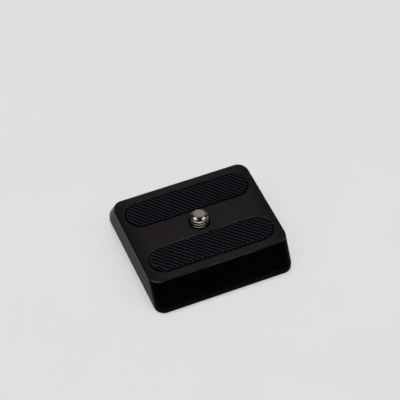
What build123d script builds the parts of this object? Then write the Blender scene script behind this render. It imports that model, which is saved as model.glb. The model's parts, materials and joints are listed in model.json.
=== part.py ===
"""Tripod quick release plate: a black dovetail plate with two ribbed grip pads and a captive camera screw.

Sizes are in millimetres. The origin is the centre of the base, +X runs along the pads, +Y runs across the
dovetail and +Z points up at the camera.
"""

import os
from math import ceil, cos, radians, sin

from build123d import *

os.makedirs("parts", exist_ok=True)

# Dovetail plate
end_land = 2.6
base_width = 48.0
top_width = 38.2
plate_height = 11.2
foot_height = 3.0
corner_radius = 3.6
edge_break = 0.3
rim_break = 0.15
web_thickness = 2.4
pocket_clearance = 0.6
pocket_fillet = 0.8

# Ribbed grip pads, cut from one ribbed sheet and glued into recesses
pad_length = 45.0
pad_width = 10.5
pad_spacing = 21.2
pad_thickness = 2.0
pad_proud = 0.4
pad_gap = 0.15
rib_pitch = 1.3
groove_width = 0.7
groove_depth = 0.6
groove_flank_angle = 15.0
front_rib_angle = -45.0
front_rib_shift = 1.0
rear_rib_angle = -49.0
rear_rib_shift = 0.7

# Camera screw, a quarter inch thread with its head in the pocket under the plate
thread_radius = 3.175
thread_above_plate = 2.6
tip_radius = 1.4
thread_relief = 0.175
relief_height = 0.05
screw_lift = 1.3
head_radius = 6.0
head_thickness = 2.6
head_break = 0.3
slot_width = 1.6
slot_depth = 1.0
seat_gap = 0.02

# Retaining ring, snapped into the screw's neck above the web
ring_thickness = 0.8
ring_cover = 0.8
ring_split = 1.2
ring_play = 0.05
ring_side_gap = 0.1
neck_radius = 2.4
collar_gap = 0.45
web_hole_gap = 0.1

# D-ring, a wire bail that hinges on the screw's head
wire_radius = 0.8
arm_length = 4.0
heel_radius = 1.3
heel_gap = 0.1
pin_length = 2.0
pin_end_gap = 0.2
pivot_fit = 0.05

# The plate runs past its pads by a land at each end
plate_length = pad_length + 2 * end_land

# Levels, from the base up
pad_top = plate_height + pad_proud
recess_floor = pad_top - pad_thickness
collar_depth = ring_thickness + screw_lift + ring_cover
collar_floor = plate_height - collar_depth
pocket_depth = collar_floor - web_thickness
head_top = pocket_depth - screw_lift - seat_gap
head_bottom = head_top - head_thickness
pivot_level = (head_top + head_bottom) / 2
ring_bottom = collar_floor + seat_gap
ring_top = ring_bottom + ring_thickness
thread_start = plate_height + relief_height
thread_end = plate_height + thread_above_plate
tip_level = thread_end + tip_radius

# Radii and reaches round the screw
shank_radius = thread_radius - thread_relief
web_hole_radius = thread_radius + web_hole_gap
collar_radius = thread_radius + collar_gap
ring_radius = collar_radius - ring_side_gap
ring_bore_radius = neck_radius + ring_play
arm_offset = head_radius + heel_gap + heel_radius
pin_end = head_radius - pin_length
ring_reach = arm_length + arm_offset + wire_radius
pocket_radius = ring_reach + pocket_clearance
pivot_hole_radius = wire_radius + pivot_fit

# Plate body: a dovetail bar with rounded corners, two pad recesses, the stepped screw hole and a round pocket
with BuildPart() as plate_body:
    with BuildSketch(Plane.YZ):
        with BuildLine():
            Polyline(
                (-base_width / 2, 0),
                (base_width / 2, 0),
                (base_width / 2, foot_height),
                (top_width / 2, plate_height),
                (-top_width / 2, plate_height),
                (-base_width / 2, foot_height),
                close=True,
            )
        make_face()
    extrude(amount=plate_length / 2, both=True)
    corner_edges = plate_body.edges().filter_by(Axis.X, reverse=True).filter_by(Axis.Y, reverse=True)
    fillet(corner_edges, corner_radius)
    fillet(plate_body.faces().sort_by(Axis.Z)[-1].edges(), edge_break)
    chamfer(plate_body.faces().sort_by(Axis.Z)[0].edges(), edge_break)

    with BuildSketch(Plane.XY.offset(plate_height)):
        with GridLocations(0, pad_spacing, 1, 2):
            SlotOverall(pad_length + 2 * pad_gap, pad_width + 2 * pad_gap)
    extrude(amount=recess_floor - plate_height, mode=Mode.SUBTRACT)

    with BuildSketch():
        Circle(pocket_radius)
    extrude(amount=pocket_depth, mode=Mode.SUBTRACT)
    pocket_floor = plate_body.faces().filter_by(Plane.XY).filter_by_position(
        Axis.Z, pocket_depth, pocket_depth
    )
    fillet(pocket_floor.edges(), pocket_fillet)

    with Locations((0, 0, plate_height)):
        CounterBoreHole(web_hole_radius, collar_radius, collar_depth)
    top_face = plate_body.faces().sort_by(Axis.Z)[-1]
    chamfer([edge for rim in top_face.inner_wires() for edge in rim.edges()], rim_break)
    base_face = plate_body.faces().sort_by(Axis.Z)[0]
    chamfer([edge for rim in base_face.inner_wires() for edge in rim.edges()], edge_break)

plate_body.part.label = "plate_body"
export_step(plate_body.part, "parts/plate_body.step")

# Grip pads: round-ended strips whose ribs run out at the edge
grip_pads = [
    ("front_grip_pad", -pad_spacing / 2, front_rib_angle, front_rib_shift),
    ("rear_grip_pad", pad_spacing / 2, rear_rib_angle, rear_rib_shift),
]
for pad_name, pad_centre, rib_angle, rib_shift in grip_pads:
    along_ribs = Vector(cos(radians(rib_angle)), sin(radians(rib_angle)), 0)
    across_ribs = Vector(-along_ribs.Y, along_ribs.X, 0)
    ribbed_span = (pad_length - pad_width) * abs(across_ribs.X) + pad_width
    groove_count = 2 * ceil(ribbed_span / 2 / rib_pitch) + 1
    middle_groove = Vector(0, pad_centre, pad_top) + across_ribs * (rib_shift - rib_pitch / 2)
    with BuildPart() as grip_pad:
        with BuildSketch(Plane.XY.offset(recess_floor)):
            with Locations((0, pad_centre)):
                SlotOverall(pad_length, pad_width)
        extrude(amount=pad_thickness)
        with BuildSketch(Plane(middle_groove, x_dir=across_ribs, z_dir=along_ribs)):
            with GridLocations(rib_pitch, 0, groove_count, 1):
                Trapezoid(
                    groove_width,
                    groove_depth,
                    90 + groove_flank_angle,
                    align=(Align.CENTER, Align.MAX),
                )
        extrude(amount=pad_length, both=True, mode=Mode.SUBTRACT)
    grip_pad.part.label = pad_name
    export_step(grip_pad.part, f"parts/{pad_name}.step")

# Camera screw: one turned piece, with a coin slot and two blind pivot holes in its head
with BuildPart() as camera_screw:
    with BuildSketch(Plane.XZ):
        with BuildLine():
            Polyline(
                (thread_radius - tip_radius, tip_level),
                (0, tip_level),
                (0, head_bottom),
                (head_radius, head_bottom),
                (head_radius, head_top),
                (shank_radius, head_top),
                (shank_radius, ring_bottom - ring_play),
                (neck_radius, ring_bottom - ring_play),
                (neck_radius, ring_top + ring_play),
                (shank_radius, ring_top + ring_play),
                (shank_radius, thread_start),
                (thread_radius, thread_start),
                (thread_radius, thread_end),
            )
            JernArc((thread_radius, thread_end), (0, 1), tip_radius, 90)
        make_face()
    revolve(axis=Axis.Z)
    head_side = camera_screw.faces().filter_by(GeomType.CYLINDER).sort_by(SortBy.RADIUS)[-1]
    chamfer(head_side.edges().filter_by(GeomType.CIRCLE), head_break)

    with BuildSketch(Plane.XY.offset(head_bottom)):
        Rectangle(slot_width, 2 * head_radius)
    extrude(amount=slot_depth, mode=Mode.SUBTRACT)
    for side in (-1, 1):
        with Locations(Plane((side * head_radius, 0, pivot_level), z_dir=(side, 0, 0))):
            Hole(pivot_hole_radius, pin_length + pin_end_gap)

camera_screw.part.label = "camera_screw"
export_step(camera_screw.part, "parts/camera_screw.step")

# Retaining ring: a flat split ring that lands on the collar's floor and keeps the screw in the plate
with BuildPart() as retaining_ring:
    with BuildSketch(Plane.XY.offset(ring_bottom)):
        Circle(ring_radius)
        Circle(ring_bore_radius, mode=Mode.SUBTRACT)
        with Locations((0, ring_radius)):
            Rectangle(ring_split, 2 * (ring_radius - neck_radius), mode=Mode.SUBTRACT)
    extrude(amount=ring_thickness)

retaining_ring.part.label = "retaining_ring"
export_step(retaining_ring.part, "parts/retaining_ring.step")

# D-ring: round wire from one pivot hole out along an arm, round the bow and back into the other hole
with BuildPart() as d_ring:
    with BuildLine(Plane.XY.offset(pivot_level)) as wire_path:
        right_pin = Line((pin_end, 0), (arm_offset - heel_radius, 0))
        right_heel = JernArc(right_pin @ 1, right_pin % 1, heel_radius, 90)
        right_arm = Line(right_heel @ 1, right_heel @ 1 + Vector(0, arm_length - heel_radius))
        bow = JernArc(right_arm @ 1, right_arm % 1, arm_offset, 180)
        left_arm = Line(bow @ 1, bow @ 1 - Vector(0, arm_length - heel_radius))
        left_heel = JernArc(left_arm @ 1, left_arm % 1, heel_radius, 90)
        Line(left_heel @ 1, left_heel @ 1 + Vector(right_pin.length, 0))
    with BuildSketch(Plane(right_pin @ 0, z_dir=right_pin % 0)):
        Circle(wire_radius)
    sweep(path=wire_path.wires()[0])

d_ring.part.label = "d_ring"
export_step(d_ring.part, "parts/d_ring.step")
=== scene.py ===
"""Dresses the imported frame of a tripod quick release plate.

The plate, pads, screw, ring and bail are modelled in millimetres. A finished piece is brought to metres.
"""

import json
import math
from types import SimpleNamespace

import bmesh
import bpy
from mathutils import Matrix, Vector


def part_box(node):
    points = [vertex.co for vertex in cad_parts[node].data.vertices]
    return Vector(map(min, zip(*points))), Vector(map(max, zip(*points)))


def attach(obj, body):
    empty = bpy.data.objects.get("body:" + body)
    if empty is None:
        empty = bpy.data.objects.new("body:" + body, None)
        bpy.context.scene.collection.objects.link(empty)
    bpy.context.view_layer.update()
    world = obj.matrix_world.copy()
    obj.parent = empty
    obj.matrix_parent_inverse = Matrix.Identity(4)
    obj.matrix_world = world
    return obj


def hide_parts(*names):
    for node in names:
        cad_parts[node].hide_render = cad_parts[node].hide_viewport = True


bl_info = {
    "name": "Tripod Quick Release Plate",
    "version": (1, 0, 0),
    "blender": (4, 5, 0),
    "location": "View3D > Sidebar > Release Plate",
    "description": "Models a dovetail camera plate with ribbed pads, a captive screw and a folding bail",
    "category": "Add Mesh",
}

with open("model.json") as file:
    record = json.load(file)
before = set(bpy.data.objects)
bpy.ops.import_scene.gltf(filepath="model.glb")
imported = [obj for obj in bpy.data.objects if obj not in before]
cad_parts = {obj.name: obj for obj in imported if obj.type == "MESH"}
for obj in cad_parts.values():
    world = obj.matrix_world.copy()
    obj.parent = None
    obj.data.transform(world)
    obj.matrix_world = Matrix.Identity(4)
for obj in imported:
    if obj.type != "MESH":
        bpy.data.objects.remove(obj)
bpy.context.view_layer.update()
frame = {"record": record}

MM = 0.001
UP = Vector((0, 0, 1))
ALONG = Vector((1, 0, 0))
ACROSS = Vector((0, 1, 0))
ROUND_STEPS = 96
SCREW_STEPS = 72
CORNER_STEPS = 14
SMOOTH_ANGLE = math.radians(32)

# Points this close, in millimetres, are on one level, are one point or are on a cut.
LEVEL_TOLERANCE = 0.001
MERGE_DISTANCE = 0.002
CUT_TOLERANCE = 0.0001

# How much of the dye is rubbed off, where 1 is all of it.
TOP_EDGE_WEAR = 0.15
TOP_CORNER_WEAR = 0.4
BASE_EDGE_WEAR = 0.4
FRONT_RIM_WEAR = 0.7
RIM_WEAR = 0.1

# A face of the rounded edge that leans this much both ways is on a corner.
CORNER_LEAN = 0.15

# Noise lies mostly within the wide span, and the narrow one gives patches with clearer edges.
WIDE_SPAN = {"From Min": 0.3, "From Max": 0.7}
NARROW_SPAN = {"From Min": 0.35, "From Max": 0.65}

# A Mix node repeats its sockets' names for each kind of data, so those for colours are picked by number.
MIX_FACTOR, MIX_A, MIX_B, MIXED = 0, 6, 7, 2


def node_box(node):
    """Gives the lowest and highest corner of a CAD node in millimetres."""
    low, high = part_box(node)
    return low / MM, high / MM


def thread_radius():
    """Gives the camera screw's thread radius in millimetres, as the record states it."""
    mounts = {mount["name"]: mount for mount in frame["record"]["mounts"]}
    return mounts["camera_screw"]["dims"]["r_mm"]


def linear(hex_value):
    """Turns an sRGB hex colour into linear red, green and blue."""
    channels = [int(hex_value[place : place + 2], 16) / 255 for place in (0, 2, 4)]
    return tuple(c / 12.92 if c <= 0.04045 else ((c + 0.055) / 1.055) ** 2.4 for c in channels)


def length(name, description, size):
    """Declares a length, given in millimetres, that a user may change."""
    return bpy.props.FloatProperty(
        name=name, description=description, default=size * MM, unit="LENGTH", precision=5
    )


def angle(name, description, degrees):
    """Declares an angle that a user may change."""
    return bpy.props.FloatProperty(
        name=name, description=description, default=math.radians(degrees), subtype="ANGLE"
    )


def colour(name, description, hex_value):
    """Declares a colour that a user may change."""
    return bpy.props.FloatVectorProperty(
        name=name, description=description, default=linear(hex_value), min=0.0, max=1.0, subtype="COLOR"
    )


def position(name, description, metres):
    """Declares a position that a user may change."""
    return bpy.props.FloatVectorProperty(
        name=name, description=description, default=metres, subtype="XYZ", unit="LENGTH", precision=5
    )


def power(name, description, watts):
    return bpy.props.FloatProperty(name=name, description=description, default=watts, unit="POWER")


def millimetres(settings):
    """Reads the lengths of a group of settings in millimetres."""
    lengths = [row.identifier for row in settings.bl_rna.properties if getattr(row, "unit", "") == "LENGTH"]
    return SimpleNamespace(**{name: getattr(settings, name) / MM for name in lengths})


class PlateSettings(bpy.types.PropertyGroup):
    """Sizes and colours of the dovetail plate."""

    top_width: length("Top width", "Width of the plate across its top", 38.2)
    foot_height: length("Foot height", "Height of the upright foot under the dovetail", 3.0)
    corner_radius: length("Corner radius", "Radius of the four upright corners", 3.6)
    edge_round: length("Edge round", "Round along the edge of the top", 0.3)
    base_break: length("Base break", "Chamfer along the edge of the base and of the pocket", 0.3)
    rim_break: length("Rim break", "Chamfer round the recesses and the screw hole", 0.15)
    pad_gap: length("Pad gap", "Gap between a pad and the wall of its recess", 0.15)
    collar_radius: length("Collar radius", "Radius of the hole round the screw", 3.625)
    collar_floor: length("Collar floor", "Height of the shelf that the ring lands on", 8.3)
    web_radius: length("Web radius", "Radius of the hole through the web", 3.275)
    pocket_radius: length("Pocket radius", "Radius of the round pocket under the plate", 12.8)
    pocket_depth: length("Pocket depth", "Depth of the round pocket under the plate", 5.9)
    pocket_fillet: length("Pocket fillet", "Radius between the pocket's wall and its ceiling", 0.8)
    dye: colour("Dye", "Colour of the anodised skin", "020102")
    # The blasted colour is partly painted light: besides the blasting, it stands in for the light that the
    # top catches.
    blasted: colour("Blasted skin", "Colour of the blasted top and base", "251f24")
    faded: colour("Faded dye", "Colour of the clouds in the blasted skin", "1f1f20")
    # The foot colour is painted light, standing in for light that the table throws onto the foot.
    painted_foot_light: colour("Clamped foot", "Colour of the dye where the clamp holds the foot", "100c0a")
    worn: colour("Worn edge", "Colour of the bare metal along handled edges", "7c7a7a")


class PadSettings(bpy.types.PropertyGroup):
    """Sizes and colour of the ribbed grip pads."""

    rib_pitch: length("Rib pitch", "Distance from rib to rib", 1.3)
    rib_width: length("Rib width", "Width of a rib halfway up its side", 0.58)
    rib_side: length("Rib side", "Width of a rib's rounded side", 0.36)
    rib_crown: length("Rib crown", "How far a rib's rounded top falls towards its sides", 0.1)
    groove_depth: length("Groove depth", "Depth of the grooves between the ribs", 0.6)
    trim: length("Trim", "How far each pad is cut short of its full outline", 0.3)
    front_angle: angle("Front rib angle", "Direction of the front pad's ribs", -45)
    front_shift: length("Front rib shift", "Shift of the front pad's ribs from its centre", 1.0)
    rear_angle: angle("Rear rib angle", "Direction of the rear pad's ribs", -49)
    rear_shift: length("Rear rib shift", "Shift of the rear pad's ribs from its centre", 0.7)
    rubber: colour("Rubber", "Colour of the rubber", "05050c")


class ScrewSettings(bpy.types.PropertyGroup):
    """Sizes and colours of the captive camera screw."""

    thread_pitch: length("Thread pitch", "Climb of the thread in one turn", 1.27)
    thread_depth: length("Thread depth", "Depth of the thread", 0.38)
    crest_level: length("Crest level", "Height of the first full crest on the camera's side", 14.08)
    tip_height: length("Tip height", "Height of the domed end", 1.8)
    tip_fullness: bpy.props.FloatProperty(
        name="Tip fullness", description="Fullness of the dome, where 2 is an ellipse", default=2.2, min=2.0
    )
    shank_radius: length("Shank radius", "Radius of the plain shank", 3.0)
    neck_radius: length("Neck radius", "Radius of the neck that holds the ring", 2.4)
    neck_bottom: length("Neck bottom", "Height of the neck's lower shoulder", 8.27)
    neck_top: length("Neck top", "Height of the neck's upper shoulder", 9.17)
    head_thickness: length("Head thickness", "Thickness of the head", 2.6)
    head_break: length("Head break", "Chamfer along the head's edges", 0.3)
    slot_width: length("Slot width", "Width of the coin slot", 1.6)
    slot_depth: length("Slot depth", "Depth of the coin slot", 1.0)
    pivot_radius: length("Pivot radius", "Radius of the two holes for the bail", 0.85)
    pivot_depth: length("Pivot depth", "Depth of the two holes for the bail", 2.2)
    nickel: colour("Nickel", "Colour of the bright nickel plate", "b4afa7")
    # The grime colour is old grease and also painted shade in the root of the thread.
    grime_and_painted_shade: colour("Grime", "Colour of the old grease at the root of the thread", "14120e")


class RingSettings(bpy.types.PropertyGroup):
    """Sizes and colour of the split retaining ring."""

    bore_radius: length("Bore radius", "Radius of the ring's bore", 2.45)
    split: length("Split", "Gap between the ring's ends", 1.2)
    edge_round: length("Edge round", "Round along the ring's stamped edges", 0.08)
    steel: colour("Steel", "Colour of the blackened spring steel", "2a2a2c")


class BailSettings(bpy.types.PropertyGroup):
    """Sizes of the folding wire bail."""

    wire_radius: length("Wire radius", "Radius of the wire", 0.8)
    arm_length: length("Arm length", "Distance from the pivot to the start of the bow", 4.0)
    heel_radius: length("Heel radius", "Bend radius at the foot of each arm", 1.3)
    pin_end: length("Pin end", "Distance from the screw's axis to the end of each pin", 4.0)
    end_break: length("End break", "Chamfer on the wire's cut ends", 0.12)


class StudioSettings(bpy.types.PropertyGroup):
    """Camera, floor and light."""

    eye: position("Eye", "Where the camera stands", (-0.14249, -0.33630, 0.44731))
    target: position("Target", "Where the camera looks", (0.00397, 0.00872, 0.01128))
    lens: bpy.props.FloatProperty(
        name="Lens", description="Focal length of the camera", default=150.075, unit="CAMERA"
    )
    floor: colour("Floor", "Colour of the table top", "e4e4e4")
    overhead_power: power("Overhead power", "Power of the softbox above the table", 5.75)
    side_power: power("Side power", "Power of each softbox beside the plate", 1.7)
    card_power: power("Card power", "Power of the low card in front of the plate", 3.2)


class ReleasePlateSettings(bpy.types.PropertyGroup):
    """All settings of the quick release plate."""

    plate: bpy.props.PointerProperty(name="Plate", description="Dovetail plate", type=PlateSettings)
    pads: bpy.props.PointerProperty(name="Pads", description="Grip pads", type=PadSettings)
    screw: bpy.props.PointerProperty(name="Screw", description="Camera screw", type=ScrewSettings)
    ring: bpy.props.PointerProperty(name="Ring", description="Retaining ring", type=RingSettings)
    bail: bpy.props.PointerProperty(name="Bail", description="Wire bail", type=BailSettings)
    studio: bpy.props.PointerProperty(
        name="Studio", description="Camera, floor and light", type=StudioSettings
    )


def parts_of(geometry, kind):
    """Picks the vertices, edges or faces out of an operator's result."""
    return [part for part in geometry if isinstance(part, kind)]


def is_level(part, level):
    """Says whether an edge or a face lies at one height."""
    return all(abs(v.co.z - level) < LEVEL_TOLERANCE for v in part.verts)


def at_level(edges, level):
    """Picks the open edges that lie at one height."""
    return [e for e in edges if e.is_boundary and is_level(e, level)]


def level_face(bm, level):
    """Finds the flat face at one height."""
    return next(f for f in bm.faces if is_level(f, level))


def points_of(edges):
    """Lists the points of a run of edges, each once and in a fixed order."""
    return list(dict.fromkeys(v for e in edges for v in e.verts))


def pull_face(bm, face, way):
    """Pulls a face out of its surface and gives the points that moved."""
    pulled = parts_of(bmesh.ops.extrude_face_region(bm, geom=[face])["geom"], bmesh.types.BMVert)
    bmesh.ops.translate(bm, vec=way, verts=pulled)
    bmesh.ops.delete(bm, geom=[face], context="FACES_ONLY")
    return pulled


def round_edges(bm, edges, width, steps):
    """Rounds edges, or breaks them with one flat where there is one step."""
    return bmesh.ops.bevel(
        bm,
        geom=edges,
        offset=width,
        offset_type="OFFSET",
        segments=steps,
        profile=0.5,
        affect="EDGES",
        material=-1,
        clamp_overlap=True,
    )


def slice_off(bm, point, outward, tolerance, **options):
    """Slices off all that lies outward of a plane."""
    bmesh.ops.bisect_plane(
        bm,
        geom=bm.verts[:] + bm.edges[:] + bm.faces[:],
        dist=tolerance,
        plane_co=point,
        plane_no=outward,
        clear_outer=True,
        **options,
    )


def turn_outline(bm, outline, steps=ROUND_STEPS):
    """Turns an outline of radius and height pairs round the screw's axis."""
    points = [bm.verts.new((radius, 0, level)) for radius, level in outline]
    lines = [bm.edges.new(pair) for pair in zip(points, points[1:])]
    bmesh.ops.spin(
        bm,
        geom=points + lines,
        axis=UP,
        cent=(0, 0, 0),
        dvec=(0, 0, 0),
        angle=math.tau,
        steps=steps,
        use_merge=True,
    )


def quarter_round(centre, radius, start, steps):
    """Lists the points of a quarter round about a centre, anticlockwise from a start angle in degrees."""
    turns = [math.radians(start + 90 * step / steps) for step in range(steps + 1)]
    return [(centre[0] + radius * math.cos(a), centre[1] + radius * math.sin(a)) for a in turns]


def dome_share(share, fullness):
    """Gives a dome's height at a share of its radius, or its radius at a share of its height, as a share."""
    return (1 - share**fullness) ** (1 / fullness)


def finish_piece(bm, name, finish, body, node):
    """Closes a piece, brings it to metres and sets it in the frame in place of its CAD node."""
    bmesh.ops.remove_doubles(bm, verts=bm.verts, dist=MERGE_DISTANCE)
    bmesh.ops.recalc_face_normals(bm, faces=bm.faces)
    if any(not e.is_manifold for e in bm.edges):
        raise RuntimeError(f"{name} isn't closed")
    bmesh.ops.scale(bm, vec=(MM, MM, MM), verts=bm.verts)
    for face in bm.faces:
        face.smooth = True
    mesh = bpy.data.meshes.new(name)
    bm.to_mesh(mesh)
    bm.free()
    mesh.set_sharp_from_angle(angle=SMOOTH_ANGLE)
    mesh.materials.append(finish)
    piece = bpy.data.objects.new(name, mesh)
    bpy.context.scene.collection.objects.link(piece)
    even = piece.modifiers.new("Even shading", "WEIGHTED_NORMAL")
    even.keep_sharp = True
    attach(piece, body)
    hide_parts(node)


def cut_away(bm, cutter):
    """Cuts one closed shape out of another."""
    meshes = []
    for shape in (bm, cutter):
        bmesh.ops.remove_doubles(shape, verts=shape.verts, dist=MERGE_DISTANCE)
        bmesh.ops.recalc_face_normals(shape, faces=shape.faces)
        mesh = bpy.data.meshes.new("cut")
        shape.to_mesh(mesh)
        meshes.append(mesh)
    stock, tool = (bpy.data.objects.new("cut", mesh) for mesh in meshes)
    for thing in (stock, tool):
        bpy.context.scene.collection.objects.link(thing)
    cut = stock.modifiers.new("Cut", "BOOLEAN")
    cut.object = tool
    cut.operation = "DIFFERENCE"
    cut.solver = "EXACT"
    left = bpy.data.meshes.new_from_object(stock.evaluated_get(bpy.context.evaluated_depsgraph_get()))
    bm.clear()
    bm.from_mesh(left)
    cutter.free()
    for thing in (stock, tool):
        bpy.data.objects.remove(thing)
    for mesh in meshes + [left]:
        bpy.data.meshes.remove(mesh)


def add_node(tree, kind, output=None, inputs=None, **settings):
    """Adds a shader node with its settings, fills or links its inputs, and gives one of its outputs."""
    node = tree.nodes.new("ShaderNode" + kind)
    for name, value in settings.items():
        setattr(node, name, value)
    for name, value in (inputs or {}).items():
        if isinstance(value, bpy.types.NodeSocket):
            tree.links.new(value, node.inputs[name])
        else:
            node.inputs[name].default_value = value
    return None if output is None else node.outputs[output]


def start_finish(name):
    """Starts a material, and gives it, its node tree and its Object coordinates."""
    finish = bpy.data.materials.new(name)
    finish.use_nodes = True
    tree = finish.node_tree
    tree.nodes.clear()
    return finish, tree, add_node(tree, "TexCoord", "Object")


def per_metre(size):
    """Gives the scale of a pattern whose grains have a size in millimetres."""
    return 1 / (size * MM)


def anodised_finish(settings):
    """Black anodised aluminium: satin sides, and a top and base that are bead blasted before they are dyed.

    It gives the eye deep black sides with a soft sheen, a foot whose brown is painted light from the table,
    greyer matt faces whose grey is partly painted light, and pale lines on handled edges.
    """
    finish, tree, place = start_finish("black_anodised_aluminium")
    # Blasted grit is about 0.1 mm. It is drawn at 0.45 mm, because the picture can't show it finer.
    grit = add_node(
        tree, "TexNoise", "Fac", {"Vector": place, "Scale": per_metre(0.45), "Detail": 3.0, "Roughness": 0.6}
    )
    # The dye bath leaves broad, faint clouds about 12 mm across.
    clouds = add_node(tree, "TexNoise", "Fac", {"Vector": place, "Scale": per_metre(12.0), "Detail": 3.0})
    shade = add_node(
        tree, "MapRange", "Result", {"Value": clouds, **WIDE_SPAN, "To Min": 0.85, "To Max": 1.15}
    )
    blasting_and_painted_light = add_node(tree, "Attribute", "Fac", attribute_name="blasted")
    # The top's paler colour is strongest in the middle and darkens over the last 6 mm at each end, which is
    # painted shade.
    along = add_node(tree, "SeparateXYZ", "X", {"Vector": place})
    from_middle = add_node(tree, "Math", "Value", {0: along}, operation="ABSOLUTE")
    painted_end_shade = add_node(
        tree,
        "MapRange",
        "Result",
        {"Value": from_middle, "From Min": 18 * MM, "From Max": 24 * MM, "To Min": 1.0, "To Max": 0.6},
    )
    painted_top_light = add_node(tree, "Math", "Value", {0: blasting_and_painted_light, 1: painted_end_shade}, operation="MULTIPLY")
    cloudy = add_node(tree, "MapRange", "Result", {"Value": clouds, **NARROW_SPAN})
    # The blasted colour, paler than the dye, is partly painted light.
    blasted = add_node(
        tree,
        "Mix",
        MIXED,
        {MIX_FACTOR: cloudy, MIX_A: (*settings.blasted, 1.0), MIX_B: (*settings.faded, 1.0)},
        data_type="RGBA",
    )
    # The foot's long sides are painted browner, which is painted light thrown up from the table.
    foot = add_node(tree, "Attribute", "Fac", attribute_name="painted_foot_light")
    sides = add_node(
        tree,
        "Mix",
        MIXED,
        {MIX_FACTOR: foot, MIX_A: (*settings.dye, 1.0), MIX_B: (*settings.painted_foot_light, 1.0)},
        data_type="RGBA",
    )
    # This mix carries the painted light of the top and of the foot.
    dye = add_node(
        tree, "Mix", MIXED, {MIX_FACTOR: painted_top_light, MIX_A: sides, MIX_B: blasted}, data_type="RGBA"
    )
    dyed = add_node(tree, "VectorMath", "Vector", {"Vector": dye, "Scale": shade}, operation="SCALE")
    # Rubbed stretches along an edge are about 3 mm long.
    rubbing = add_node(tree, "TexNoise", "Fac", {"Vector": place, "Scale": per_metre(3.0), "Detail": 3.0})
    rubbed = add_node(
        tree, "MapRange", "Result", {"Value": rubbing, **NARROW_SPAN, "To Min": 0.15, "To Max": 1.0}
    )
    edges = add_node(tree, "Attribute", "Fac", attribute_name="edge_wear")
    wear = add_node(tree, "Math", "Value", {0: edges, 1: rubbed}, operation="MULTIPLY")
    skin = add_node(
        tree, "Mix", MIXED, {MIX_FACTOR: wear, MIX_A: dyed, MIX_B: (*settings.worn, 1.0)}, data_type="RGBA"
    )
    satin = add_node(
        tree, "MapRange", "Result", {"Value": grit, **WIDE_SPAN, "To Min": 0.24, "To Max": 0.32}
    )
    blasted_roughness = 0.26
    roughness = add_node(
        tree, "Math", "Value", {0: blasting_and_painted_light, 1: blasted_roughness, 2: satin}, operation="MULTIPLY_ADD"
    )
    grain = add_node(tree, "Bump", "Normal", {"Height": grit, "Strength": 0.12, "Distance": 0.02 * MM})
    surface = add_node(
        tree,
        "BsdfPrincipled",
        "BSDF",
        {
            "Base Color": skin,
            "Metallic": wear,
            "Roughness": roughness,
            "Normal": grain,
            "Specular IOR Level": 0.015,
            "Specular Tint": (*linear("fff9f9"), 1.0),
        },
    )
    add_node(tree, "OutputMaterial", inputs={"Surface": surface})
    return finish


def rubber_finish(settings):
    """Black nitrile rubber, moulded as ribbed sheet.

    It gives the eye a deep matt black whose rib tops take a faint blue sheen, with a fine dusty tooth.
    """
    finish, tree, place = start_finish("black_nitrile_rubber")
    # The mould's tooth is about 0.15 mm. It is drawn at 0.4 mm, because the picture can't show it finer.
    tooth = add_node(
        tree, "TexNoise", "Fac", {"Vector": place, "Scale": per_metre(0.4), "Detail": 4.0, "Roughness": 0.65}
    )
    # Handling leaves dull and polished patches about 6 mm across.
    patches = add_node(tree, "TexNoise", "Fac", {"Vector": place, "Scale": per_metre(6.0), "Detail": 3.0})
    shade = add_node(
        tree, "MapRange", "Result", {"Value": patches, **WIDE_SPAN, "To Min": 0.6, "To Max": 1.4}
    )
    tint = add_node(
        tree, "VectorMath", "Vector", {"Vector": tuple(settings.rubber), "Scale": shade}, operation="SCALE"
    )
    dullness = add_node(
        tree, "MapRange", "Result", {"Value": tooth, **WIDE_SPAN, "To Min": 0.8, "To Max": 1.2}
    )
    polish = add_node(
        tree, "MapRange", "Result", {"Value": patches, **NARROW_SPAN, "To Min": 0.36, "To Max": 0.2}
    )
    # The camera's foot presses on the front pad, so its ribs shine more than the rear pad's.
    depth = add_node(tree, "SeparateXYZ", "Y", {"Vector": place})
    pressed = add_node(
        tree,
        "MapRange",
        "Result",
        {"Value": depth, "From Min": -5 * MM, "From Max": 5 * MM, "To Min": -0.06, "To Max": 0.05},
    )
    roughness = add_node(
        tree, "Math", "Value", {0: dullness, 1: polish, 2: pressed}, operation="MULTIPLY_ADD"
    )
    grain = add_node(tree, "Bump", "Normal", {"Height": tooth, "Strength": 0.2, "Distance": 0.04 * MM})
    surface = add_node(
        tree,
        "BsdfPrincipled",
        "BSDF",
        {
            "Base Color": tint,
            "Roughness": roughness,
            "Normal": grain,
            "Specular IOR Level": 0.38,
            "Specular Tint": (*linear("f0f0ff"), 1.0),
        },
    )
    add_node(tree, "OutputMaterial", inputs={"Surface": surface})
    return finish


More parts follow.
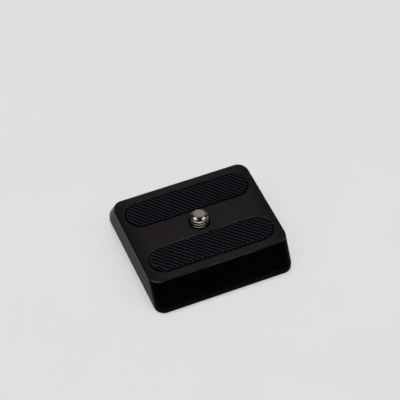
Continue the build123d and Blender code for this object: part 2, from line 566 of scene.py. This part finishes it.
def nickel_finish(settings):
    """Nickel plate on turned steel.

    It gives the eye a warm bright mirror that is slightly blurred by turning marks and haze.
    """
    finish, tree, place = start_finish("bright_nickel_plate")
    # Turning marks lie about 0.12 mm apart along the screw. They are drawn at 0.3 mm to show at all.
    rings = add_node(
        tree,
        "TexWave",
        "Fac",
        {"Vector": place, "Scale": per_metre(0.3) / math.tau, "Distortion": 0.4, "Detail": 1.0},
        wave_type="BANDS",
        bands_direction="Z",
    )
    # Haze on the plate comes in spots about 1.5 mm across.
    haze = add_node(tree, "TexNoise", "Fac", {"Vector": place, "Scale": per_metre(1.5), "Detail": 2.0})
    blur = add_node(
        tree, "MapRange", "Result", {"Value": haze, **WIDE_SPAN, "To Min": 0.06, "To Max": 0.14}
    )
    # The root of the thread holds old grease, and its dark colour there is also painted shade.
    groove = add_node(tree, "Attribute", "Fac", attribute_name="groove")
    grease = add_node(tree, "MapRange", "Result", {"Value": groove, "From Min": 0.25, "From Max": 0.65})
    grease_roughness = 0.2
    roughness = add_node(
        tree, "Math", "Value", {0: grease, 1: grease_roughness, 2: blur}, operation="MULTIPLY_ADD"
    )
    # Camera sockets have dulled the screw's end unevenly, and the pocket keeps the head clean.
    spots = add_node(
        tree, "MapRange", "Result", {"Value": haze, **WIDE_SPAN, "To Min": 0.25, "To Max": -0.25}
    )
    height = add_node(tree, "SeparateXYZ", "Z", {"Vector": place})
    scuffed = add_node(
        tree,
        "MapRange",
        "Result",
        {"Value": height, "From Min": 6 * MM, "From Max": 10 * MM, "To Min": 0.25, "To Max": 1.0},
    )
    clean_shine = 0.95
    tarnish = add_node(
        tree, "Math", "Value", {0: spots, 1: scuffed, 2: clean_shine}, operation="MULTIPLY_ADD"
    )
    # Camera sockets polish the crests of the thread, and their paler colour is also a painted highlight.
    ridge = add_node(tree, "Attribute", "Fac", attribute_name="ridge")
    polish = add_node(
        tree, "MapRange", "Result", {"Value": ridge, "From Min": 0.3, "From Max": 0.9, "To Max": 0.5}
    )
    shine = add_node(tree, "Math", "Value", {0: tarnish, 1: polish}, operation="ADD")
    dulled = add_node(
        tree, "VectorMath", "Vector", {"Vector": tuple(settings.nickel), "Scale": shine}, operation="SCALE"
    )
    # The thread's root is painted dark: old grease and painted shade.
    plate = add_node(
        tree,
        "Mix",
        MIXED,
        {MIX_FACTOR: grease, MIX_A: dulled, MIX_B: (*settings.grime_and_painted_shade, 1.0)},
        data_type="RGBA",
    )
    marks = add_node(tree, "Bump", "Normal", {"Height": rings, "Strength": 0.06, "Distance": 0.01 * MM})
    surface = add_node(
        tree,
        "BsdfPrincipled",
        "BSDF",
        {"Base Color": plate, "Roughness": roughness, "Normal": marks, "Metallic": 1.0},
    )
    add_node(tree, "OutputMaterial", inputs={"Surface": surface})
    return finish


def spring_steel_finish(settings):
    """Blackened spring steel, stamped and oiled.

    It gives the eye a dark blue-grey metal with a dull, slightly uneven oxide.
    """
    finish, tree, place = start_finish("blackened_spring_steel")
    # The oxide is uneven in spots about 0.6 mm across.
    oxide = add_node(tree, "TexNoise", "Fac", {"Vector": place, "Scale": per_metre(0.6), "Detail": 3.0})
    dullness = add_node(
        tree, "MapRange", "Result", {"Value": oxide, **WIDE_SPAN, "To Min": 0.3, "To Max": 0.48}
    )
    surface = add_node(
        tree,
        "BsdfPrincipled",
        "BSDF",
        {"Base Color": (*settings.steel, 1.0), "Roughness": dullness, "Metallic": 1.0},
    )
    add_node(tree, "OutputMaterial", inputs={"Surface": surface})
    return finish


def table_finish(settings):
    """Matt laminate of a pale table top.

    It gives the eye a plain, even ground. From below it is clear, so that it doesn't hide the pocket.
    """
    finish, tree, place = start_finish("pale_matt_laminate")
    # The laminate's mottle is about 40 mm across and hardly shows.
    mottle = add_node(tree, "TexNoise", "Fac", {"Vector": place, "Scale": per_metre(40.0), "Detail": 2.0})
    shade = add_node(
        tree, "MapRange", "Result", {"Value": mottle, **WIDE_SPAN, "To Min": 0.995, "To Max": 1.005}
    )
    tint = add_node(
        tree, "VectorMath", "Vector", {"Vector": tuple(settings.floor), "Scale": shade}, operation="SCALE"
    )
    laminate = add_node(
        tree, "BsdfPrincipled", "BSDF", {"Base Color": tint, "Roughness": 0.9, "Specular IOR Level": 0.1}
    )
    # The table is pale to the eye and in the metal, and its shadows stay faint.
    seen = add_node(tree, "LightPath", "Is Camera Ray")
    for ray in ("Is Glossy Ray", "Is Transmission Ray"):
        other = add_node(tree, "LightPath", ray)
        seen = add_node(tree, "Math", "Value", {0: seen, 1: other}, operation="MAXIMUM")
    own_glow = 0.5
    paleness = add_node(tree, "Math", "Value", {0: seen, 1: own_glow}, operation="MULTIPLY")
    glow = add_node(tree, "Emission", "Emission", {"Color": tint})
    pale = add_node(tree, "MixShader", "Shader", {0: paleness, 1: laminate, 2: glow})
    below = add_node(tree, "NewGeometry", "Backfacing")
    clear = add_node(tree, "BsdfTransparent", "BSDF")
    table = add_node(tree, "MixShader", "Shader", {0: below, 1: pale, 2: clear})
    add_node(tree, "OutputMaterial", inputs={"Surface": table})
    return finish


def round_ended_face(bm, centre, size, level):
    """Makes a level face with two straight sides and two round ends."""
    width = size[1]
    steps = ROUND_STEPS // 2
    corners = bmesh.ops.create_circle(bm, cap_ends=True, segments=steps, radius=width / 2)["verts"]
    half_step = math.pi / steps
    bmesh.ops.rotate(bm, cent=(0, 0, 0), matrix=Matrix.Rotation(half_step, 3, "Z"), verts=corners)
    bmesh.ops.scale(bm, vec=Vector((1, 1, 1)) / math.cos(half_step), verts=corners)
    for side in (-1, 1):
        end = [v for v in corners if v.co.x * side > 0]
        bmesh.ops.translate(bm, vec=(side * (size[0] - width) / 2, 0, 0), verts=end)
    bmesh.ops.translate(bm, vec=(centre[0], centre[1], level), verts=corners)
    return corners[0].link_faces[0]


class MakePlate(bpy.types.Operator):
    """Model the dovetail plate with its recesses, stepped hole and pocket"""

    bl_idname = "release_plate.make_plate"
    bl_label = "Dovetail Plate"

    def execute(self, context):
        settings = context.scene.release_plate.plate
        sizes = millimetres(settings)
        low, high = node_box("plate_body")
        bm = bmesh.new()
        worn = bm.faces.layers.float.new("edge_wear")
        blasted = bm.faces.layers.float.new("blasted")
        painted_foot_light = bm.faces.layers.float.new("painted_foot_light")
        self.shape_bar(bm, sizes, low, high, worn)
        for node, rubbed in (("front_grip_pad", FRONT_RIM_WEAR), ("rear_grip_pad", RIM_WEAR)):
            self.sink_recess(bm, sizes, high.z, node, worn, rubbed)
        self.turn_hole(bm, sizes, high.z)
        bmesh.ops.remove_doubles(bm, verts=bm.verts, dist=MERGE_DISTANCE)
        for level in (0, high.z):
            bmesh.ops.triangle_fill(bm, edges=at_level(bm.edges, level), use_beauty=True, normal=UP)
        for face in bm.faces:
            levels = [v.co.z for v in face.verts]
            # Top and base take the blasted colour, which is partly painted light.
            face[blasted] = float(min(levels) > high.z - LEVEL_TOLERANCE or max(levels) < LEVEL_TOLERANCE)
            # The foot's long sides take the painted light from the table.
            in_foot = max(levels) < sizes.foot_height + LEVEL_TOLERANCE
            on_long_side = abs(face.calc_center_median().y) > high.y - sizes.corner_radius / 2
            face[painted_foot_light] = float(in_foot and on_long_side)
        finish = anodised_finish(settings)
        finish_piece(bm, "dovetail_plate", finish, "plate", "plate_body")
        return {"FINISHED"}

    def shape_bar(self, bm, sizes, low, high, worn):
        """Shapes the foot and the dovetail that leans in above it, with the top and the base left open."""
        block = bmesh.ops.create_cube(bm, size=1.0)["verts"]
        bmesh.ops.scale(bm, vec=(high.x - low.x, high.y - low.y, sizes.foot_height), verts=block)
        bmesh.ops.translate(bm, vec=(0, 0, sizes.foot_height / 2), verts=block)
        crown = pull_face(bm, level_face(bm, sizes.foot_height), UP * (high.z - sizes.foot_height))
        bmesh.ops.scale(bm, vec=(1, sizes.top_width / (high.y - low.y), 1), verts=crown)
        corners = [e for e in bm.edges if abs(e.verts[0].co.z - e.verts[1].co.z) > LEVEL_TOLERANCE]
        round_edges(bm, corners, sizes.corner_radius, CORNER_STEPS)
        # The clamp rubs the long edges, and hands rub the top's corners. The edges of the ends stay black.
        rims = ((high.z, sizes.edge_round, 4, TOP_EDGE_WEAR), (0, sizes.base_break, 2, BASE_EDGE_WEAR))
        for level, width, steps, wear in rims:
            for face in round_edges(bm, list(level_face(bm, level).edges), width, steps)["faces"]:
                endways, sideways = abs(face.normal.x), abs(face.normal.y)
                face[worn] = wear if sideways > endways else 0.0
                if level == high.z and min(endways, sideways) > CORNER_LEAN:
                    face[worn] = TOP_CORNER_WEAR
        for level in (0, high.z):
            bmesh.ops.delete(bm, geom=[level_face(bm, level)], context="FACES_ONLY")

    def sink_recess(self, bm, sizes, top, node, worn, rubbed):
        """Sinks a round-ended tray for a pad, with a broken rim that is rubbed on its far side."""
        low, high = node_box(node)
        middle = (low + high) / 2
        room = 2 * (sizes.pad_gap + sizes.rim_break)
        size = (high.x - low.x + room, high.y - low.y + room)
        tray = round_ended_face(bm, middle, size, top)
        rim = bmesh.ops.inset_individual(
            bm, faces=[tray], thickness=sizes.rim_break, depth=-sizes.rim_break, use_even_offset=True
        )
        for face in rim["faces"]:
            face[worn] = rubbed if face.calc_center_median().y > middle.y else RIM_WEAR
        pull_face(bm, tray, -UP * (top - sizes.rim_break - low.z))

    def turn_hole(self, bm, sizes, top):
        """Turns the stepped hole and the pocket in one outline, from the rim at the top down to the base."""
        fillet_centre = (sizes.pocket_radius - sizes.pocket_fillet, sizes.pocket_depth - sizes.pocket_fillet)
        outline = [
            (sizes.collar_radius + sizes.rim_break, top),
            (sizes.collar_radius, top - sizes.rim_break),
            (sizes.collar_radius, sizes.collar_floor),
            (sizes.web_radius, sizes.collar_floor),
            (sizes.web_radius, sizes.pocket_depth),
            *reversed(quarter_round(fillet_centre, sizes.pocket_fillet, start=0, steps=6)),
            (sizes.pocket_radius, sizes.base_break),
            (sizes.pocket_radius + sizes.base_break, 0),
        ]
        turn_outline(bm, outline)


class MakePads(bpy.types.Operator):
    """Model the two ribbed grip pads"""

    bl_idname = "release_plate.make_pads"
    bl_label = "Grip Pads"

    def execute(self, context):
        settings = context.scene.release_plate.pads
        sizes = millimetres(settings)
        finish = rubber_finish(settings)
        rows = [
            ("front_ribbed_pad", "front_grip_pad", settings.front_angle, sizes.front_shift),
            ("rear_ribbed_pad", "rear_grip_pad", settings.rear_angle, sizes.rear_shift),
        ]
        for name, node, rib_angle, shift in rows:
            low, high = node_box(node)
            bm = bmesh.new()
            self.press_sheet(bm, sizes, low, high, rib_angle + math.pi / 2, shift)
            self.trim_sheet(bm, low, high, sizes.trim)
            rim = [e for e in bm.edges if e.is_boundary]
            wall = bmesh.ops.extrude_edge_only(bm, edges=rim)["geom"]
            for point in parts_of(wall, bmesh.types.BMVert):
                point.co.z = low.z
            bmesh.ops.triangle_fill(bm, edges=at_level(bm.edges, low.z), use_beauty=True, normal=UP)
            finish_piece(bm, name, finish, "plate", node)
        return {"FINISHED"}

    def press_sheet(self, bm, sizes, low, high, across, shift):
        """Presses ribs into a sheet larger than the pad, and lays it on with the ribs at their angle."""
        middle = (low + high) / 2
        size = high - low
        reach = size.x + size.y
        ribs = 2 * math.ceil(reach / 2 / sizes.rib_pitch) + 1
        steps_per_rib = 20
        sheet = bmesh.ops.create_grid(bm, x_segments=ribs * steps_per_rib, y_segments=1, size=0.5)["verts"]
        bmesh.ops.scale(bm, vec=(ribs * sizes.rib_pitch, reach, 1), verts=sheet)
        # A rib has a shallow crown, and its sides fall in a smooth bend to the groove.
        for point in sheet:
            from_rib = abs((point.co.x / sizes.rib_pitch + 0.5) % 1 - 0.5) * sizes.rib_pitch
            down = (from_rib - sizes.rib_width / 2) / sizes.rib_side + 0.5
            down = min(max(down, 0.0), 1.0)
            fall = sizes.rib_crown * min(2 * from_rib / sizes.rib_width, 1.0) ** 2
            point.co.z = -fall - (sizes.groove_depth - sizes.rib_crown) * down * down * (3 - 2 * down)
        bmesh.ops.rotate(bm, cent=(0, 0, 0), matrix=Matrix.Rotation(across, 3, "Z"), verts=sheet)
        shifted = shift * Vector((math.cos(across), math.sin(across), 0))
        bmesh.ops.translate(bm, vec=Vector((middle.x, middle.y, high.z)) + shifted, verts=sheet)

    def trim_sheet(self, bm, low, high, trim):
        """Trims the sheet to two straight sides and two round ends."""
        middle = (low + high) / 2
        size = high - low
        end_radius = size.y / 2
        end_steps = 24
        for side in (-1, 1):
            end_centre = Vector((middle.x + side * (size.x / 2 - end_radius), middle.y, 0))
            for step in range(end_steps + 1):
                lean = math.pi * (step / end_steps - 0.5)
                outward = Vector((side * math.cos(lean), math.sin(lean), 0))
                slice_off(bm, end_centre + outward * (end_radius - trim), outward, CUT_TOLERANCE)


class MakeScrew(bpy.types.Operator):
    """Model the threaded camera screw with its slotted head"""

    bl_idname = "release_plate.make_screw"
    bl_label = "Camera Screw"

    def execute(self, context):
        settings = context.scene.release_plate.screw
        sizes = millimetres(settings)
        low, high = node_box("camera_screw")
        eye = context.scene.release_plate.studio.eye
        bm = bmesh.new()
        self.turn_thread(bm, sizes, high.z, math.atan2(eye[1], eye[0]))
        self.round_tip(bm, sizes, high.z, settings.tip_fullness)
        self.turn_head(bm, sizes, low, high)
        self.cut_head(bm, sizes, low, high)
        finish = nickel_finish(settings)
        finish_piece(bm, "threaded_screw", finish, "screw", "camera_screw")
        return {"FINISHED"}

    def turn_thread(self, bm, sizes, top, near_side):
        """Turns the thread from below the neck's top to above the screw's end.

        One turn of the thread's outline climbs by one pitch, so each end of it meets the next turn.
        """
        groove = bm.verts.layers.float.new("groove")
        ridge = bm.verts.layers.float.new("ridge")
        crest = thread_radius()
        pitch = sizes.thread_pitch
        tooth_steps = 20
        climbs = [step / tooth_steps for step in range(tooth_steps)]
        tooth = [(climb, (1 - math.cos(math.tau * climb)) / 2) for climb in climbs]
        first = sizes.crest_level - pitch * (near_side / math.tau % 1)
        start = first - pitch * math.ceil((first - sizes.neck_top) / pitch + 1)
        turns = math.ceil((top - sizes.neck_top) / pitch) + 3
        points = [
            bm.verts.new((crest - sizes.thread_depth * depth, 0, start + pitch * (turn + climb)))
            for turn in range(turns)
            for climb, depth in tooth
        ]
        lines = [bm.edges.new(pair) for pair in zip(points, points[1:])]
        bmesh.ops.spin(
            bm,
            geom=points + lines,
            axis=UP,
            cent=(0, 0, 0),
            dvec=(0, 0, pitch / SCREW_STEPS),
            angle=math.tau,
            steps=SCREW_STEPS,
        )
        bmesh.ops.remove_doubles(bm, verts=bm.verts, dist=MERGE_DISTANCE)
        for point in bm.verts:
            point[groove] = (crest - point.co.xy.length) / sizes.thread_depth
            point[ridge] = 1 - point[groove]

    def round_tip(self, bm, sizes, top, fullness):
        """Trims the thread to the neck and the dome, and closes it with a plain crown inside its root."""
        crest = thread_radius()
        root = crest - sizes.thread_depth
        tip_start = top - sizes.tip_height
        crown_level = tip_start + sizes.tip_height * dome_share(root / crest, fullness)
        for point in bm.verts:
            radius = point.co.xy.length
            rise = min(max(point.co.z, tip_start), crown_level) - tip_start
            limit = crest * dome_share(rise / sizes.tip_height, fullness)
            if radius > limit:
                point.co.xy *= limit / radius
        # Points that a cut would leave as slivers are drawn onto it.
        snap = 0.03
        for level, outward in ((sizes.neck_top, -UP), (crown_level, UP)):
            slice_off(bm, (0, 0, level), outward, snap, use_snap_center=True)
        open_end = points_of(at_level(bm.edges, crown_level))
        bmesh.ops.remove_doubles(bm, verts=open_end, dist=2 * snap)
        thread_top = at_level(bm.edges, crown_level)
        crown_steps = 14
        reaches = [root * (1 - step / crown_steps) for step in range(crown_steps + 1)]
        outline = [
            (reach, tip_start + sizes.tip_height * dome_share(reach / crest, fullness)) for reach in reaches
        ]
        before = set(bm.edges)
        turn_outline(bm, outline, SCREW_STEPS)
        crown_rim = [e for e in at_level(bm.edges, crown_level) if e not in before]
        bmesh.ops.bridge_loops(bm, edges=thread_top + crown_rim)

    def turn_head(self, bm, sizes, low, high):
        """Turns the neck, the plain shank and the head below the thread."""
        head_top = low.z + sizes.head_thickness
        head = (high.x - low.x) / 2
        outline = [
            (sizes.neck_radius, sizes.neck_top),
            (sizes.neck_radius, sizes.neck_bottom),
            (sizes.shank_radius, sizes.neck_bottom),
            (sizes.shank_radius, head_top),
            (head - sizes.head_break, head_top),
            (head, head_top - sizes.head_break),
            (head, low.z + sizes.head_break),
            (head - sizes.head_break, low.z),
            (0, low.z),
        ]
        turn_outline(bm, outline, SCREW_STEPS)
        bmesh.ops.triangle_fill(bm, edges=at_level(bm.edges, sizes.neck_top), use_beauty=True, normal=UP)

    def cut_head(self, bm, sizes, low, high):
        """Cuts the coin slot across the head and drills a pivot hole into each side of it."""
        head = (high.x - low.x) / 2
        slot = bmesh.new()
        block = bmesh.ops.create_cube(slot, size=2.0)["verts"]
        bmesh.ops.scale(slot, vec=(sizes.slot_width / 2, 2 * head, sizes.slot_depth), verts=block)
        bmesh.ops.translate(slot, vec=(0, 0, low.z), verts=block)
        cut_away(bm, slot)
        for side in (-1, 1):
            drill = bmesh.new()
            bit = bmesh.ops.create_cone(
                drill,
                cap_ends=True,
                segments=32,
                radius1=sizes.pivot_radius,
                radius2=sizes.pivot_radius,
                depth=2 * sizes.pivot_depth,
            )["verts"]
            bmesh.ops.rotate(drill, cent=(0, 0, 0), matrix=Matrix.Rotation(math.pi / 2, 3, "Y"), verts=bit)
            bmesh.ops.translate(drill, vec=(side * head, 0, low.z + sizes.head_thickness / 2), verts=bit)
            cut_away(bm, drill)


class MakeRing(bpy.types.Operator):
    """Model the split ring that keeps the screw in the plate"""

    bl_idname = "release_plate.make_ring"
    bl_label = "Retaining Ring"

    def execute(self, context):
        settings = context.scene.release_plate.ring
        sizes = millimetres(settings)
        low, high = node_box("retaining_ring")
        outer = (high.x - low.x) / 2
        half_gap = math.asin(sizes.split / 2 / sizes.bore_radius)
        bm = bmesh.new()
        corners = [
            bm.verts.new((radius * math.sin(half_gap), radius * math.cos(half_gap), level))
            for radius, level in (
                (sizes.bore_radius, low.z),
                (outer, low.z),
                (outer, high.z),
                (sizes.bore_radius, high.z),
            )
        ]
        section = bm.faces.new(corners)
        swept = bmesh.ops.spin(
            bm,
            geom=[*corners, *section.edges],
            axis=-UP,
            cent=(0, 0, 0),
            dvec=(0, 0, 0),
            angle=math.tau - 2 * half_gap,
            steps=64,
        )["geom_last"]
        bmesh.ops.edgeloop_fill(bm, edges=parts_of(swept, bmesh.types.BMEdge))
        bmesh.ops.recalc_face_normals(bm, faces=bm.faces)
        sharp = [e for e in bm.edges if e.calc_face_angle(0) > SMOOTH_ANGLE]
        round_edges(bm, sharp, sizes.edge_round, 2)
        finish = spring_steel_finish(settings)
        finish_piece(bm, "split_ring", finish, "ring", "retaining_ring")
        return {"FINISHED"}


class MakeBail(bpy.types.Operator):
    """Bend the wire bail that turns the screw by hand"""

    bl_idname = "release_plate.make_bail"
    bl_label = "Wire Bail"

    def execute(self, context):
        sizes = millimetres(context.scene.release_plate.bail)
        low, high = node_box("d_ring")
        level = (low.z + high.z) / 2
        arm_offset = (high.x - low.x) / 2 - sizes.wire_radius
        heel = arm_offset - sizes.heel_radius
        bm = bmesh.new()
        wire = bmesh.ops.create_circle(bm, cap_ends=False, segments=28, radius=sizes.wire_radius)["verts"]
        bmesh.ops.rotate(bm, cent=(0, 0, 0), matrix=Matrix.Rotation(math.pi / 2, 3, "Y"), verts=wire)
        bmesh.ops.translate(bm, vec=(sizes.pin_end, 0, level), verts=wire)
        first = end = bm.edges[:]

        # The wire runs out of one pivot hole, up an arm, round the bow, down the other arm and back in.
        bends = [
            (ALONG * (heel - sizes.pin_end), None, 0),
            (None, (heel, sizes.heel_radius, level), 90),
            (ACROSS * (sizes.arm_length - sizes.heel_radius), None, 0),
            (None, (0, sizes.arm_length, level), 180),
            (-ACROSS * (sizes.arm_length - sizes.heel_radius), None, 0),
            (None, (-heel, sizes.heel_radius, level), 90),
            (ALONG * (heel - sizes.pin_end), None, 0),
        ]
        degrees_per_step = 6
        for run, centre, bend in bends:
            if centre is None:
                made = bmesh.ops.extrude_edge_only(bm, edges=end)["geom"]
                bmesh.ops.translate(bm, vec=run, verts=parts_of(made, bmesh.types.BMVert))
            else:
                made = bmesh.ops.spin(
                    bm,
                    geom=points_of(end) + end,
                    axis=UP,
                    cent=centre,
                    dvec=(0, 0, 0),
                    angle=math.radians(bend),
                    steps=bend // degrees_per_step,
                )["geom_last"]
            end = [e for e in parts_of(made, bmesh.types.BMEdge) if e.is_boundary]
        for loop in (first, end):
            cap = bmesh.ops.edgeloop_fill(bm, edges=loop)["faces"][0]
            round_edges(bm, list(cap.edges), sizes.end_break, 1)
        finish = nickel_finish(context.scene.release_plate.screw)
        finish_piece(bm, "wire_bail", finish, "bail", "d_ring")
        return {"FINISHED"}


class SetStage(bpy.types.Operator):
    """Set the table top, the softboxes, the room light and the camera"""

    bl_idname = "release_plate.set_stage"
    bl_label = "Studio"

    def execute(self, context):
        settings = context.scene.release_plate.studio
        self.lay_table(context.scene, settings)
        self.hang_lamps(context.scene, settings)
        self.light_room(context.scene)
        self.set_camera(context.scene, settings)
        context.scene.view_settings.view_transform = "Standard"
        return {"FINISHED"}

    def lay_table(self, scene, settings):
        """Lays the table top under the plate."""
        table_reach = 4.0
        # The table lies a hair under the base, so that the two faces don't share one plane.
        table_gap = 0.05 * MM
        bm = bmesh.new()
        ground = Matrix.Translation((0, 0, -table_gap))
        bmesh.ops.create_grid(bm, x_segments=1, y_segments=1, size=table_reach, matrix=ground)
        # A window that the plate covers lets light into the pocket when the plate is looked at from below.
        window_reach = 22.9 * MM
        window = bm.faces[:]
        bmesh.ops.inset_individual(
            bm, faces=window, thickness=table_reach - window_reach, use_even_offset=True
        )
        bmesh.ops.delete(bm, geom=window, context="FACES_ONLY")
        mesh = bpy.data.meshes.new("table_top")
        bm.to_mesh(mesh)
        bm.free()
        mesh.materials.append(table_finish(settings))
        table = bpy.data.objects.new("table_top", mesh)
        scene.collection.objects.link(table)

    def hang_lamps(self, scene, settings):
        """Hangs a softbox overhead, which metal doesn't show, one at each side, and a low card in front."""
        lamps = [
            ("softbox_overhead", (0.0, 0.06, 1.0), (0.45, 0.45), "ffffff", settings.overhead_power),
            ("softbox_left", (-0.55, 0.14, 0.82), (0.6, 0.6), "ffffff", settings.side_power),
            ("softbox_right", (0.55, -0.27, 0.79), (0.6, 0.6), "fffaf0", settings.side_power),
            ("low_card", (-0.4, -0.86, 0.24), (3.2, 0.5), "fffcf4", settings.card_power),
        ]
        aim = Vector((0, 0, 0.01))
        for name, stand, size, tint, watts in lamps:
            light = bpy.data.lights.new(name, "AREA")
            light.color = linear(tint)
            light.shape = "RECTANGLE"
            light.size, light.size_y = size
            light.energy = watts
            lamp = bpy.data.objects.new(name, light)
            lamp.location = stand
            lamp.rotation_euler = (Vector(stand) - aim).to_track_quat("Z", "Y").to_euler()
            lamp.visible_glossy = name != "softbox_overhead"
            scene.collection.objects.link(lamp)

    def light_room(self, scene):
        """Lights the dim room.

        A pale wall stands high at the back, a faint band runs along the table and light comes from below.
        """
        world = bpy.data.worlds.new("studio_room")
        world.use_nodes = True
        tree = world.node_tree
        tree.nodes.clear()
        direction = add_node(tree, "TexCoord", "Generated")
        wall_direction = (0.3, 0.71, 0.64)
        depth = add_node(
            tree, "VectorMath", "Value", {0: direction, 1: wall_direction}, operation="DOT_PRODUCT"
        )
        wall = add_node(
            tree,
            "MapRange",
            "Result",
            {"Value": depth, "From Min": 0.68, "From Max": 0.97, "To Min": 0.02, "To Max": 0.44},
            interpolation_type="SMOOTHSTEP",
        )
        height = add_node(tree, "SeparateXYZ", "Z", {"Vector": direction})
        skirt = add_node(
            tree,
            "MapRange",
            "Result",
            {"Value": height, "From Min": 0.3, "From Max": 0.5, "To Min": 0.04, "To Max": 0.02},
            interpolation_type="SMOOTHSTEP",
        )
        under = add_node(
            tree,
            "MapRange",
            "Result",
            {"Value": height, "From Min": -0.1, "From Max": -0.02, "To Min": 0.75, "To Max": 0.0},
        )
        glow = wall
        for light in (skirt, under):
            glow = add_node(tree, "Math", "Value", {0: glow, 1: light}, operation="MAXIMUM")
        room = add_node(tree, "Background", "Background", {"Color": glow})
        add_node(tree, "OutputWorld", inputs={"Surface": room})
        scene.world = world

    def set_camera(self, scene, settings):
        """Sets the camera where the photograph was taken from."""
        view = bpy.data.cameras.new("studio_camera")
        view.sensor_width = 36.0
        view.lens = settings.lens
        camera = bpy.data.objects.new("studio_camera", view)
        eye, target = Vector(settings.eye), Vector(settings.target)
        camera.location = eye
        camera.rotation_euler = (eye - target).to_track_quat("Z", "Y").to_euler()
        scene.collection.objects.link(camera)
        scene.camera = camera


class ReleasePlatePanel(bpy.types.Panel):
    """Lists the pieces of the quick release plate and the studio"""

    bl_idname = "VIEW3D_PT_release_plate"
    bl_label = "Quick Release Plate"
    bl_space_type = "VIEW_3D"
    bl_region_type = "UI"
    bl_category = "Release Plate"

    def draw(self, context):
        for maker in MAKERS:
            self.layout.operator(maker.bl_idname)


GROUPS = (
    PlateSettings,
    PadSettings,
    ScrewSettings,
    RingSettings,
    BailSettings,
    StudioSettings,
    ReleasePlateSettings,
)
MAKERS = (MakePlate, MakePads, MakeScrew, MakeRing, MakeBail, SetStage)


def register():
    for group in GROUPS + MAKERS + (ReleasePlatePanel,):
        bpy.utils.register_class(group)
    bpy.types.Scene.release_plate = bpy.props.PointerProperty(
        name="Release plate", description="Settings of the quick release plate", type=ReleasePlateSettings
    )


def unregister():
    del bpy.types.Scene.release_plate
    for group in reversed(GROUPS + MAKERS + (ReleasePlatePanel,)):
        bpy.utils.unregister_class(group)


def main():
    register()
    for maker in MAKERS:
        family, action = maker.bl_idname.split(".")
        getattr(getattr(bpy.ops, family), action)()


if __name__ == "__main__":
    main()
